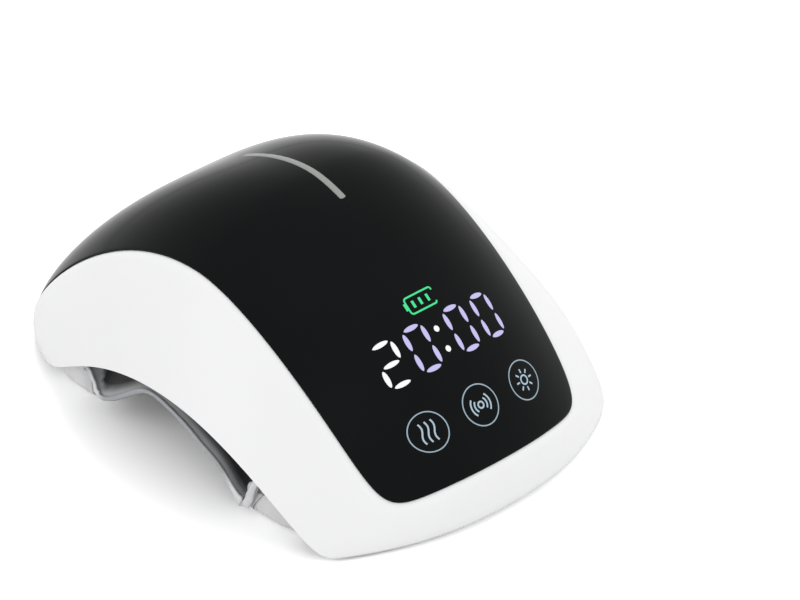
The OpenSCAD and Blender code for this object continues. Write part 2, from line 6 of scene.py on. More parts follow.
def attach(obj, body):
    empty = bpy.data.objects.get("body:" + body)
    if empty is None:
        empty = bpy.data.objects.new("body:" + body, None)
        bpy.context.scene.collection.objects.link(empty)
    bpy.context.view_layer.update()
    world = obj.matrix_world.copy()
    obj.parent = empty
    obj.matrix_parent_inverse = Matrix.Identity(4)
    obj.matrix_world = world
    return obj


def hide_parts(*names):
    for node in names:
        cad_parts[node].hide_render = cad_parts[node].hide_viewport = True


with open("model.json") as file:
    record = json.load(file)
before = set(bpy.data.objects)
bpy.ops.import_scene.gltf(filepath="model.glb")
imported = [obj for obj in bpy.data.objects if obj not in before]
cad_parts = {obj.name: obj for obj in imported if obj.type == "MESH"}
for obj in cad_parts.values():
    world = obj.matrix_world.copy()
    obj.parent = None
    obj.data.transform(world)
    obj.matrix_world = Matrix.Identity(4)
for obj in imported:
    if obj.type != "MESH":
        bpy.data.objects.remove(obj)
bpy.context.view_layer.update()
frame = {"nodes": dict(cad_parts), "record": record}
nodes = frame["nodes"]
print("frame loaded:", len(nodes), "nodes")


view = {
    "azimuth": -43.58, "elevation": 32.66, "distance": 1.429,
    "focalPixels": 4153, "imageWidth": 800, "sensor": 36, "near": 0.05, "far": 50,
    "aimRight": 0.0323, "aimUp": 0.0361,   # aim point, along the picture's right and up from the origin
}


def makeCamera():
    a, e = math.radians(view["azimuth"]), math.radians(view["elevation"])
    right = Vector((math.cos(a), math.sin(a), 0))
    back = Vector((math.sin(a) * math.cos(e), -math.cos(a) * math.cos(e), math.sin(e)))
    up = back.cross(right)
    lens = bpy.data.cameras.new("camera")
    lens.sensor_width = view["sensor"]
    lens.lens = view["sensor"] * view["focalPixels"] / view["imageWidth"]
    lens.clip_start, lens.clip_end = view["near"], view["far"]
    cam = bpy.data.objects.new("camera", lens)
    bpy.context.scene.collection.objects.link(cam)
    place = right * view["aimRight"] + Vector((0, 0, view["aimUp"])) + back * view["distance"]
    cam.matrix_world = Matrix.Translation(place) @ Matrix((right, up, back)).transposed().to_4x4()
    bpy.context.scene.camera = cam


makeCamera()
print("camera placed")


# the shell's surface, by the CAD part's own numbers: s runs across it, 0 at the crest line and 1 at the
# side edge, and t runs along it, 0 at the front and 1 at the back
shape = {
    "length": 0.204, "width": 0.150, "height": 0.090,
    "frontWidth": 0.128, "backWidth": 0.114,
    "sideArch": 0.036, "footLift": 0.001,
    "frontInset": 0.0165, "backInset": 0.033,   # of the side edges' ends from the crest line's ends
    "frontRun": (-0.955, -1.205, -0.42, -0.02), "backRun": (-0.02, 0.5, 1.145, 0.968),
    "frontRise": 0.003, "backRise": 0.005,
    "frontSquare": 14, "backSquare": 6,   # higher is squarer, for the corners of the shell's edge
    "crowns": (2.35, 2.6, 5.8),   # how flat the top is across, at the front, the middle and the back
    "pastEdge": 1.2,
    "panelHalf": 0.050775, "panelTaper": 0.009, "panelSquare": 13,
    "panelFront": 0.138, "panelBack": 0.96,
    "digitRow": 0.275, "stripFront": 0.435, "stripBack": 0.60,
    "cornerCrowd": 66,   # degrees: how much closer the columns stand at the corners
}
halfLength = shape["length"] / 2
panelMiddle = (shape["panelFront"] + shape["panelBack"]) / 2
panelSpan = (shape["panelBack"] - shape["panelFront"]) / 2
hollow = Vector((0, 0, 0.02))   # a point in the hollow under the arch, which outer faces face away from


def clamped(x):
    return min(1, max(0, x))


def cubicAt(p, u):
    return (1 - u) ** 3 * p[0] + 3 * (1 - u) ** 2 * u * p[1] + 3 * (1 - u) * u * u * p[2] + u ** 3 * p[3]


def crestPoint(t):
    lift, top = shape["footLift"], shape["height"]
    if t < 0.5:
        y = halfLength * cubicAt(shape["frontRun"], 2 * t)
        return y, cubicAt((lift, lift + shape["frontRise"], top, top), 2 * t)
    y = halfLength * cubicAt(shape["backRun"], 2 * t - 1)
    return y, cubicAt((top, top, lift + shape["backRise"], lift), 2 * t - 1)


def sidePoint(t):
    y0 = shape["frontRun"][0] * halfLength + shape["frontInset"]
    y1 = shape["backRun"][3] * halfLength - shape["backInset"]
    y = (y0 + y1) / 2 - (y1 - y0) / 2 * math.cos(math.pi * t)
    return y, shape["footLift"] + shape["sideArch"] * math.sin(math.pi * t) ** 2


def halfWidth(t):
    end = shape["frontWidth"] if t < 0.5 else shape["backWidth"]
    return shape["width"] / 2 - (shape["width"] - end) / 2 * (2 * t - 1) ** 2


def panelHalf(t):
    return shape["panelHalf"] - shape["panelTaper"] * (2 * t - 1) ** 2


def crown(t):
    a, b, c = shape["crowns"]
    v = 2 * t - 1
    return b + (c - a) / 2 * v + ((a + c) / 2 - b) * v * v


def skinPoint(s, t):
    u = 1 - min(abs(s), shape["pastEdge"]) ** crown(t)
    cy, cz = crestPoint(t)
    sy, sz = sidePoint(t)
    return Vector((s * halfWidth(t), sy + (cy - sy) * u, sz + (cz - sz) * u))


def skinNormal(s, t, step=0.0015):
    across = skinPoint(s + step, t) - skinPoint(s - step, t)
    t0, t1 = max(t - step, 0), min(t + step, 1)
    along = skinPoint(s, t1) - skinPoint(s, t0)
    return across.cross(along).normalized()


def sunk(p, depth):
    return p * (1 - depth / p.length)


def squarePoint(f, power):   # f runs 0 to 4 round a square with rounded corners, one side for each 1
    side, r = int(math.floor(f)) % 4, 2 * (f - math.floor(f)) - 1
    crowd = math.radians(shape["cornerCrowd"])
    r = math.sin(crowd * r) / math.sin(crowd)
    x, y = ((1, r), (-r, 1), (-1, -r), (r, -1))[side]
    k = (abs(x) ** power + abs(y) ** power) ** (1 / power)
    return x / k, y / k


def spot(q, f):   # s and t at q: 0 at the panel's middle, 1 at its edge and 2 at the shell's lower edge
    x, y = squarePoint(f, shape["panelSquare"])
    t1 = panelMiddle - panelSpan * y
    s1 = panelHalf(t1) * x / halfWidth(t1)
    if q <= 1:
        return s1 * q, panelMiddle + (t1 - panelMiddle) * q
    x, y = squarePoint(f, shape["frontSquare"] if y > 0 else shape["backSquare"])
    return s1 + (x - s1) * (q - 1), t1 + (0.5 - 0.5 * y - t1) * (q - 1)


crest = {"from": 0.10, "span": 0.55, "steps": 400}   # the piece of the crest line that is measured
crestTable = []   # length along the crest line from the digit row, towards the front


def rowAt(along):
    if not crestTable:
        run, last = 0, None
        for k in range(crest["steps"] + 1):
            t = crest["from"] + crest["span"] * k / crest["steps"]
            p = Vector((0, *crestPoint(t)))
            run += (p - last).length if last else 0
            last = p
            crestTable.append((run, t))
        zero = min(crestTable, key=lambda r: abs(r[1] - shape["digitRow"]))[0]
        crestTable[:] = [(zero - r, t) for r, t in crestTable]
    for (a, ta), (b, tb) in zip(crestTable, crestTable[1:]):
        if b <= along <= a:
            return ta + (tb - ta) * (a - along) / (a - b)
    return crestTable[0][1] if along > crestTable[0][0] else crestTable[-1][1]


# place(a, b) gives the point for the shares a of the columns and b of the rows; a closed grid's seam and
# poles are merged; shade(a, b) is kept with each vertex for the cloth's painted shade
def gridOf(columns, rows, place, closed=False, shade=None, seam=2e-6):
    bm = bmesh.new()
    bmesh.ops.create_grid(bm, x_segments=columns, y_segments=rows, size=0.5)
    layer = bm.verts.layers.float.new("shade") if shade else None
    for v in bm.verts:
        a, b = v.co.x + 0.5, v.co.y + 0.5
        if shade:
            v[layer] = shade(a, b)
        v.co = place(a, b)
    if closed:
        bmesh.ops.remove_doubles(bm, verts=bm.verts, dist=seam)
    return bm


def thicken(bm, depth, away):   # an open sheet, first turned so that it faces away from a point
    bmesh.ops.recalc_face_normals(bm, faces=bm.faces)
    total = sum((f.normal.dot(f.calc_center_median() - away) * f.calc_area() for f in bm.faces))
    if total < 0:
        bmesh.ops.reverse_faces(bm, faces=bm.faces)
    bmesh.ops.solidify(bm, geom=bm.faces[:], thickness=depth)
    bmesh.ops.recalc_face_normals(bm, faces=bm.faces)


def roundSharp(bm, width, degrees=50, segments=3):
    bm.normal_update()
    sharp = [e for e in bm.edges if len(e.link_faces) == 2 and e.calc_face_angle(0) > math.radians(degrees)]
    bmesh.ops.bevel(bm, geom=sharp, offset=width, affect="EDGES", segments=segments, profile=0.5,
                    material=-1, clamp_overlap=True)


def join(target, source):
    mesh = bpy.data.meshes.new("part")
    source.to_mesh(mesh)
    source.free()
    target.from_mesh(mesh)
    bpy.data.meshes.remove(mesh)


def objectFrom(bm, name):
    mesh = bpy.data.meshes.new(name)
    bm.to_mesh(mesh)
    bm.free()
    made = bpy.data.objects.new(name, mesh)
    bpy.context.scene.collection.objects.link(made)
    return made


def pieceFrom(bm, name, material, replaces=(), body="massager"):
    piece = objectFrom(bm, name)
    for p in piece.data.polygons:
        p.use_smooth = True
    piece.data.materials.append(material)
    if replaces:
        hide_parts(*replaces)
    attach(piece, body)
    return piece


def applied(piece, kind, **values):
    modifier = piece.modifiers.new("change", kind)
    for key, value in values.items():
        setattr(modifier, key, value)
    bpy.context.view_layer.objects.active = piece
    bpy.ops.object.modifier_apply(modifier=modifier.name)


# materials

def surface(m):
    return m.node_tree.nodes["Principled BSDF"]


def link(m, source, socket):
    m.node_tree.links.new(source, socket)


def finish(name, colour, roughness, **sockets):
    m = bpy.data.materials.new(name)
    m.use_nodes = True
    p = surface(m)
    p.inputs["Base Color"].default_value = (*colour, 1)
    p.inputs["Roughness"].default_value = roughness
    for key, value in sockets.items():
        p.inputs[key.replace("_", " ")].default_value = value
    return m


def addNode(m, kind, **values):
    n = m.node_tree.nodes.new(kind)
    for key, value in values.items():
        setattr(n, key, value)
    return n


def objectNoise(m, scale, detail):
    n = addNode(m, "ShaderNodeTexNoise")
    link(m, addNode(m, "ShaderNodeTexCoord").outputs["Object"], n.inputs["Vector"])
    n.inputs["Scale"].default_value = scale
    n.inputs["Detail"].default_value = detail
    return n.outputs["Fac"]


def spread(m, source, low, high, fromLow=0.3, fromHigh=0.7):
    n = addNode(m, "ShaderNodeMapRange")
    link(m, source, n.inputs["Value"])
    for key, value in (("From Min", fromLow), ("From Max", fromHigh), ("To Min", low), ("To Max", high)):
        n.inputs[key].default_value = value
    return n.outputs["Result"]


def mixed(m, share, a, b):   # a or b is a colour or a socket; 6, 7 and 2 are this node's colour sockets
    n = addNode(m, "ShaderNodeMix", data_type="RGBA")
    link(m, share, n.inputs["Factor"])
    for k, value in ((6, a), (7, b)):
        if isinstance(value, tuple):
            n.inputs[k].default_value = (*value, 1)
        else:
            link(m, value, n.inputs[k])
    return n.outputs[2]


def tint(m, source, colourA, colourB):
    link(m, mixed(m, source, colourA, colourB), surface(m).inputs["Base Color"])


def roughen(m, source, low, high):
    link(m, spread(m, source, low, high), surface(m).inputs["Roughness"])


def relief(m, source, distance, strength=1.0):
    n = addNode(m, "ShaderNodeBump")
    n.inputs["Strength"].default_value = strength
    n.inputs["Distance"].default_value = distance
    link(m, source, n.inputs["Height"])
    old = surface(m).inputs["Normal"]
    if old.links:
        link(m, old.links[0].from_socket, n.inputs["Normal"])
    link(m, n.outputs["Normal"], old)


def maths(m, operation, a, b=None):
    n = addNode(m, "ShaderNodeMath", operation=operation)
    for k, value in enumerate((a, b)):
        if isinstance(value, (int, float)):
            n.inputs[k].default_value = value
        elif value is not None:
            link(m, value, n.inputs[k])
    return n.outputs[0]


def weave(m, pitch, edge=3.0):   # threads over and under, laid on whichever plane the surface faces
    axes, turned = addNode(m, "ShaderNodeSeparateXYZ"), addNode(m, "ShaderNodeSeparateXYZ")
    link(m, addNode(m, "ShaderNodeTexCoord").outputs["Object"], axes.inputs[0])
    link(m, addNode(m, "ShaderNodeNewGeometry").outputs["Normal"], turned.inputs[0])
    waves = [maths(m, "SINE", maths(m, "MULTIPLY", axes.outputs[k], 2 * math.pi / pitch)) for k in range(3)]
    total = None
    for k in range(3):
        a, b = waves[(k + 1) % 3], waves[(k + 2) % 3]
        share = maths(m, "POWER", maths(m, "ABSOLUTE", turned.outputs[k]), edge)
        term = maths(m, "MULTIPLY", maths(m, "MULTIPLY", a, b), share)
        total = term if total is None else maths(m, "ADD", total, term)
    return total


def scaled(colour, k):
    return tuple(min(1, c * k) for c in colour)


def plastic(name, colour, roughness, grain=0.00001, scale=900, shade=0.92, **sockets):
    m = finish(name, colour, roughness, **sockets)
    tint(m, spread(m, objectNoise(m, scale=45, detail=4), 0, 1), colour, scaled(colour, shade))
    roughen(m, objectNoise(m, scale=120, detail=3), low=roughness * 0.85, high=roughness * 1.2)
    relief(m, objectNoise(m, scale, detail=2), grain)
    return m


# paintedShadeColour is painted shade: it darkens the cloth's colour where the vertices' shade attribute
# says the cloth lies in shadow
def cloth(name, colour, pitch=0.0006, depth=0.00006, sheen=0.25, paintedShadeColour=None):
    m = finish(name, colour, 0.85, Sheen_Weight=sheen, Sheen_Roughness=0.5, Specular_IOR_Level=0.25)
    threads = weave(m, pitch)
    both = maths(m, "ADD", maths(m, "MULTIPLY", threads, 0.22), objectNoise(m, scale=60, detail=5))
    tint(m, spread(m, both, 0, 1, fromLow=0.2, fromHigh=0.85), scaled(colour, 0.84), scaled(colour, 1.10))
    if paintedShadeColour:   # painted shade: the colour where the piece's shade is 1
        deep = addNode(m, "ShaderNodeAttribute", attribute_name="shade").outputs["Fac"]
        base = surface(m).inputs["Base Color"]
        share = spread(m, deep, 0, 1, fromLow=0.1, fromHigh=1.0)
        link(m, mixed(m, share, base.links[0].from_socket, paintedShadeColour), base)
    relief(m, objectNoise(m, scale=260, detail=4), distance=0.00012, strength=0.6)
    relief(m, threads, depth, strength=0.8)
    return m


def metal(name, colour, roughness=0.32, stretch=(40, 900, 900)):
    m = finish(name, colour, roughness, Metallic=1.0)
    turn = addNode(m, "ShaderNodeMapping")
    turn.inputs["Scale"].default_value = stretch
    link(m, addNode(m, "ShaderNodeTexCoord").outputs["Object"], turn.inputs["Vector"])
    n = addNode(m, "ShaderNodeTexNoise")
    n.inputs["Scale"].default_value = 3
    link(m, turn.outputs["Vector"], n.inputs["Vector"])
    roughen(m, n.outputs["Fac"], low=roughness * 0.8, high=roughness * 1.35)
    tint(m, n.outputs["Fac"], colour, scaled(colour, 0.85))
    return m


def glow(name, colour):
    return finish(name, (0.01, 0.01, 0.012), 0.4, Specular_IOR_Level=0.1,
                  Emission_Color=(*colour, 1), Emission_Strength=1.0)


def whiteGloss():
    m = finish("whiteGloss", (0.89, 0.89, 0.895), 0.25, Coat_Weight=0.15, Coat_Roughness=0.08)
    patches = spread(m, objectNoise(m, scale=14, detail=5), 0, 1, fromLow=0.1, fromHigh=0.9)
    tint(m, patches, (0.895, 0.895, 0.90), (0.88, 0.882, 0.888))
    roughen(m, objectNoise(m, scale=30, detail=4), low=0.24, high=0.26)
    relief(m, objectNoise(m, scale=320, detail=2), distance=0.000006)
    return m


def blackGloss():   # the low index keeps the panel black beside white surroundings
    m = finish("blackGloss", (0.004, 0.0045, 0.0048), 0.12, IOR=1.15)
    patches = spread(m, objectNoise(m, scale=25, detail=4), 0, 1)
    tint(m, patches, (0.0036, 0.0041, 0.0044), (0.0048, 0.0053, 0.0057))
    roughen(m, objectNoise(m, scale=18, detail=5), low=0.09, high=0.14)
    relief(m, objectNoise(m, scale=160, detail=2), distance=0.000004)
    return m


white, black = whiteGloss(), blackGloss()
# the lining's near-black second colour is painted shade for the hollow under the shell, not a darker fabric
liningCloth = cloth("liningCloth", (0.52, 0.525, 0.54), paintedShadeColour=(0.013, 0.0132, 0.016))
# the hem's darker second colour is painted shade in the middle of the arch; beside the cushions it keeps
# its light colour
hemCloth = cloth("hemCloth", (0.84, 0.84, 0.85), pitch=0.0005, paintedShadeColour=(0.42, 0.43, 0.45))
cushionCloth = cloth("cushionCloth", (0.87, 0.87, 0.88), sheen=0.1)
tapeCloth = cloth("tapeCloth", (0.82, 0.82, 0.83), pitch=0.0009, depth=0.0001)
padCloth = cloth("padCloth", (0.22, 0.225, 0.24))
seamThread = cloth("seamThread", (0.10, 0.10, 0.115), pitch=0.0003)
paleThread = cloth("stitchThread", (0.62, 0.62, 0.64), pitch=0.0003)
stripSatin = plastic("stripSatin", (0.30, 0.31, 0.30), 0.35)

slotFinish = {
    "white_gloss": white,
    "board_green": plastic("boardGreen", (0.02, 0.13, 0.06), 0.4, scale=2500, shade=0.7),
    "led_block": plastic("ledBlock", (0.60, 0.60, 0.57), 0.5),
    "foam_dark": plastic("keyFoam", (0.03, 0.03, 0.035), 0.9, grain=0.00008, scale=1500),
    "chip_black": plastic("chipBlack", (0.02, 0.02, 0.022), 0.55, scale=2500),
    "foil": metal("cellFoil", (0.62, 0.63, 0.66), 0.4, (300, 300, 300)),
    "grey_plastic": plastic("greyPlastic", (0.11, 0.115, 0.125), 0.55, grain=0.00003, scale=1400),
    "steel": metal("steel", (0.55, 0.55, 0.57)),
    "weight_metal": metal("weightMetal", (0.42, 0.38, 0.30), 0.45),
    "heater": plastic("heaterFilm", (0.42, 0.17, 0.03), 0.3, scale=400, shade=0.75),
    "white_board": plastic("whiteBoard", (0.72, 0.72, 0.69), 0.45),
    "led_red": plastic("ledRed", (0.55, 0.05, 0.03), 0.25),
    "lens_red": plastic("lensRed", (0.50, 0.14, 0.13), 0.18, Transmission_Weight=0.5),
    "lead_red": plastic("leadRed", (0.38, 0.03, 0.025), 0.4),
}
for row in frame["record"]["subparts"]:
    coat = slotFinish.get(row["material_slot"])
    if coat:
        nodes[row["node"]].data.materials.clear()
        nodes[row["node"]].data.materials.append(coat)
print("materials made")


shell = {
    "around": 320, "rows": 40, "wall": 0.0026,
    "rimDrop": 0.0009, "rimSpan": 0.10,   # how the edge rolls down beside the panel
    "edgeRound": 0.0007,
    "socketAt": (0.8, 0.5), "socketLong": 0.0103, "socketHigh": 0.0045,   # charging slot in the far band
    "cutterSides": 48, "cutterDepth": 0.010, "sharpAngle": 40,
}


def shellPlace(u, v):
    s, t = spot(1 + v, 4 * u)
    roll = max(0, 1 - v / shell["rimSpan"]) ** 2 * shell["rimDrop"]
    return skinPoint(s, t) - skinNormal(s, t) * roll


def cutSocket(piece):
    at, up, along = skinPoint(*shell["socketAt"]), skinNormal(*shell["socketAt"]), Vector((0, 1, 0))
    turn = Matrix((along, up.cross(along), up)).transposed().to_4x4()
    radius = shell["socketHigh"] / 2
    bm = bmesh.new()
    bmesh.ops.create_cone(bm, cap_ends=True, segments=shell["cutterSides"], radius1=radius, radius2=radius,
                          depth=shell["cutterDepth"])
    for v in bm.verts:
        v.co.x += math.copysign((shell["socketLong"] - shell["socketHigh"]) / 2, v.co.x)
    bmesh.ops.transform(bm, verts=bm.verts, matrix=Matrix.Translation(at) @ turn)
    cutter = objectFrom(bm, "slotCutter")
    applied(piece, "BOOLEAN", operation="DIFFERENCE", solver="EXACT", object=cutter)
    bpy.data.objects.remove(cutter)
    piece.data.set_sharp_from_angle(angle=math.radians(shell["sharpAngle"]))


def makeShell():
    bm = gridOf(shell["around"], shell["rows"], shellPlace, closed=True)
    thicken(bm, shell["wall"], hollow)
    roundSharp(bm, shell["edgeRound"])
    cutSocket(pieceFrom(bm, "shell", white, replaces=["outer_shell"]))


makeShell()
print("shell made")


panel = {
    "columns": 110, "rows": 160, "thickness": 0.0018, "depth": 0.00035, "edgeRound": 0.0004,
    "gap": 0.0001, "cornerReach": 3,   # higher keeps the grid's bend nearer to the corners
}


def panelPlace(u, v):
    a, b, power = 2 * u - 1, 1 - 2 * v, shape["panelSquare"]
    r = max(abs(a), abs(b), 1e-9)
    k = ((abs(a) / r) ** power + (abs(b) / r) ** power) ** (1 / power)
    k = 1 + (1 / k - 1) * r ** panel["cornerReach"]
    t = panelMiddle - panelSpan * b * k
    shrink = 1 - panel["gap"] / shape["panelHalf"]
    s = panelHalf(t) * a * k * shrink / halfWidth(t)
    return skinPoint(s, t) - skinNormal(s, t) * panel["depth"]


def makePanel():
    bm = gridOf(panel["columns"], panel["rows"], panelPlace)
    thicken(bm, panel["thickness"], hollow)
    roundSharp(bm, panel["edgeRound"])
    pieceFrom(bm, "panel", black, replaces=["touch_panel"])


makePanel()
print("panel made")


strip = {
    "width": 0.0026, "proud": 0.00018, "columns": 8, "rows": 360, "thickness": 0.0003, "lift": 0.00002,
    "widthsLong": 36,   # its length in widths, for the round ends
}


def stripPlace(u, v):
    t = shape["stripFront"] + (shape["stripBack"] - shape["stripFront"]) * v
    run = v * strip["widthsLong"] if v < 0.5 else (1 - v) * strip["widthsLong"]
    wide = math.sqrt(max(0, 1 - (1 - run / 0.5) ** 2)) if run < 0.5 else 1
    s = (u - 0.5) * strip["width"] * wide / halfWidth(t)
    crowned = strip["proud"] * (1 - (2 * u - 1) ** 2) * wide
    return skinPoint(s, t) + skinNormal(s, t) * (crowned - panel["depth"] + strip["lift"])


def makeStrip():
    bm = gridOf(strip["columns"], strip["rows"], stripPlace, closed=True)
    thicken(bm, strip["thickness"], hollow)
    pieceFrom(bm, "lightStrip", stripSatin, replaces=["light_strip"])


makeStrip()
print("light strip made")


# lit digits, battery mark and touch keys; places are across and along the panel from the digits' middle
marks = {
    "proud": 0.00004, "thickness": 0.00003,
    "rowBow": 0.0011, "bowReach": 0.022,   # how far rows bend towards the front, and how far out
    "digitCentres": (-0.0220, -0.0092, 0.0088, 0.0224),
    "columnHalf": 0.0039, "rowHalf": 0.0077,
    "uprightLength": 0.0064, "levelLength": 0.0062, "segmentWidth": 0.0018, "segmentTaper": 0.62,
    "colon": ((-0.0005, -0.0036), (-0.0005, 0.0041)), "colonLength": 0.0023, "colonWidth": 0.0021,
    "keys": ((-0.0220, 0.0263), (0.0003, 0.0257), (0.0229, 0.0262)),
    "keyRadius": 0.00715, "ringWidth": 0.00042,
    "segmentGrid": (16, 4), "ringGrid": (72, 2), "strokeSteps": 4, "strokeRows": 2, "fewestSteps": 6,
}


def onPanel(x, along):
    t = rowAt(along - marks["rowBow"] * (x / marks["bowReach"]) ** 2)
    s = x / halfWidth(t)
    return skinPoint(s, t) + skinNormal(s, t) * (marks["proud"] - panel["depth"])


def printed(columns, rows, place):
    bm = gridOf(columns, rows, place, closed=True)
    thicken(bm, marks["thickness"], hollow)
    return bm


def lensMark(x, along, length, width, upright):
    def place(u, v):
        a, b = 2 * u - 1, 2 * v - 1
        far = a * length / 2
        side = b * width / 2 * max(0, 1 - a * a) ** marks["segmentTaper"]
        return onPanel(x + side, along + far) if upright else onPanel(x + far, along + side)
    return printed(*marks["segmentGrid"], place)


def strokeMark(points, width):
    steps = list(zip(points, points[1:]))
    sizes = [math.hypot(x1 - x0, y1 - y0) for (x0, y0), (x1, y1) in steps]
    headings = [((x1 - x0) / size, (y1 - y0) / size) for ((x0, y0), (x1, y1)), size in zip(steps, sizes)]
    lengths = [sum(sizes[:k]) for k in range(len(points))]

    def turned(heading, towards, bend):
        return tuple(a * (1 - bend) + b * bend for a, b in zip(heading, towards))

    def place(u, v):
        run = u * lengths[-1]
        k = max(i for i in range(len(steps)) if lengths[i] <= run + 1e-12)
        (x0, y0), (x1, y1) = steps[k]
        share = (run - lengths[k]) / (lengths[k + 1] - lengths[k])
        heading = headings[k]
        if share > 0.5 and k + 1 < len(headings):
            heading = turned(heading, headings[k + 1], share - 0.5)
        if share < 0.5 and k > 0:
            heading = turned(heading, headings[k - 1], 0.5 - share)
        size, off = math.hypot(*heading), (v - 0.5) * width
        dx, dy = heading[0] / size, heading[1] / size
        return onPanel(x0 + (x1 - x0) * share - dy * off, y0 + (y1 - y0) * share + dx * off)
    columns = max(marks["fewestSteps"], marks["strokeSteps"] * len(steps))
    return printed(columns, marks["strokeRows"], place)


def ringMark(x, along, radius, width):
    def place(u, v):
        r = radius + (v - 0.5) * width
        return onPanel(x + r * math.cos(2 * math.pi * u), along + r * math.sin(2 * math.pi * u))
    return printed(*marks["ringGrid"], place)


def arcPoints(x, y, radius, start, end, count):
    angles = [math.radians(start + (end - start) * k / count) for k in range(count + 1)]
    return [(x + radius * math.cos(a), y + radius * math.sin(a)) for a in angles]


segmentPlaces = {   # column, row from the middle, upright
    "a": (0, -1, False), "d": (0, 1, False), "g": (0, 0, False),
    "f": (-1, -0.5, True), "b": (1, -0.5, True), "e": (-1, 0.5, True), "c": (1, 0.5, True),
}


def digitMark(bm, centre, which):
    for key in which:
        column, row, upright = segmentPlaces[key]
        x = centre + column * marks["columnHalf"]
        length = marks["uprightLength"] if upright else marks["levelLength"]
        along = row * marks["rowHalf"]
        join(bm, lensMark(x, along, length, marks["segmentWidth"], upright))


battery = {
    "line": 0.00062, "bars": (-0.0032, -0.0001, 0.0032), "barEnds": (-0.0157, -0.0131), "barWidth": 0.00105,
    "capAt": -0.00655, "capEnds": (-0.0159, -0.0132), "capWidth": 0.0009,
    "start": (0.0062, -0.0162),
    # centre, radius, first and last angle and steps of each corner of the outline, which stays open
    "corners": ((0.0054, -0.0166, 0.0008, 0, -90, 4), (-0.0048, -0.0163, 0.0011, -90, -180, 5),
                (-0.0048, -0.0125, 0.0011, 180, 90, 5), (0.0049, -0.0122, 0.0008, 90, 0, 4)),
}


def batteryMark(bm):
    corners = [arcPoints(*corner) for corner in battery["corners"]]
    outline = [battery["start"]] + corners[0][1:] + corners[1] + corners[2] + corners[3]
    join(bm, strokeMark(outline, battery["line"]))
    join(bm, strokeMark([(battery["capAt"], y) for y in battery["capEnds"]], battery["capWidth"]))
    for x in battery["bars"]:
        join(bm, strokeMark([(x, y) for y in battery["barEnds"]], battery["barWidth"]))


signs = {   # plain signs in the keys: rising heat, a shaking disc and a shining lamp
    "line": 0.0006,
    "waves": (-0.0023, 0, 0.0023), "waveSway": 0.00055, "waveHalf": 0.0038, "waveSteps": 12,
    "disc": 0.0011, "arcs": (0.0026, 0.0041), "arcHalf": 44, "arcSteps": 8,
    "lamp": 0.0016, "rays": (0.0026, 0.0041), "rayCount": 8,
}


def signMarks(bm):
    (hx, ha), (mx, ma), (lx, la) = marks["keys"]
    strokes = []
    for x in signs["waves"]:
        shares = [k / signs["waveSteps"] for k in range(signs["waveSteps"] + 1)]
        strokes.append([(hx + x + signs["waveSway"] * math.sin(2 * math.pi * share),
                         ha + signs["waveHalf"] * (2 * share - 1)) for share in shares])
    for side in (0, 180):
        for r in signs["arcs"]:
            strokes.append(arcPoints(mx, ma, r, side - signs["arcHalf"], side + signs["arcHalf"],
                                     signs["arcSteps"]))
    for k in range(signs["rayCount"]):
        a = 2 * math.pi * k / signs["rayCount"]
        strokes.append([(lx + r * math.cos(a), la + r * math.sin(a)) for r in signs["rays"]])
    for points in strokes:
        join(bm, strokeMark(points, signs["line"]))
    join(bm, ringMark(mx, ma, signs["disc"], signs["line"]))
    join(bm, ringMark(lx, la, signs["lamp"], signs["line"]))


def makeMarks():
    first, rest, charge, rings, symbols = (bmesh.new() for _ in range(5))
    digitMark(first, marks["digitCentres"][0], "abged")
    for centre in marks["digitCentres"][1:]:
        digitMark(rest, centre, "abcdef")
    for x, along in marks["colon"]:
        join(first, lensMark(x, along, marks["colonLength"], marks["colonWidth"], True))
    batteryMark(charge)
    for x, along in marks["keys"]:
        join(rings, ringMark(x, along, marks["keyRadius"], marks["ringWidth"]))
    signMarks(symbols)
    pieceFrom(first, "firstDigit", glow("digitWhite", (0.98, 0.98, 1.0)))
    pieceFrom(rest, "otherDigits", glow("digitLavender", (0.58, 0.54, 0.88)))
    pieceFrom(charge, "batteryMark", glow("markGreen", (0.06, 0.80, 0.30)))
    pieceFrom(rings, "keyRings", glow("keyBlueGrey", (0.34, 0.45, 0.52)))
    pieceFrom(symbols, "keySigns", glow("signBlueGrey", (0.42, 0.55, 0.64)))


makeMarks()
print("display marks made")


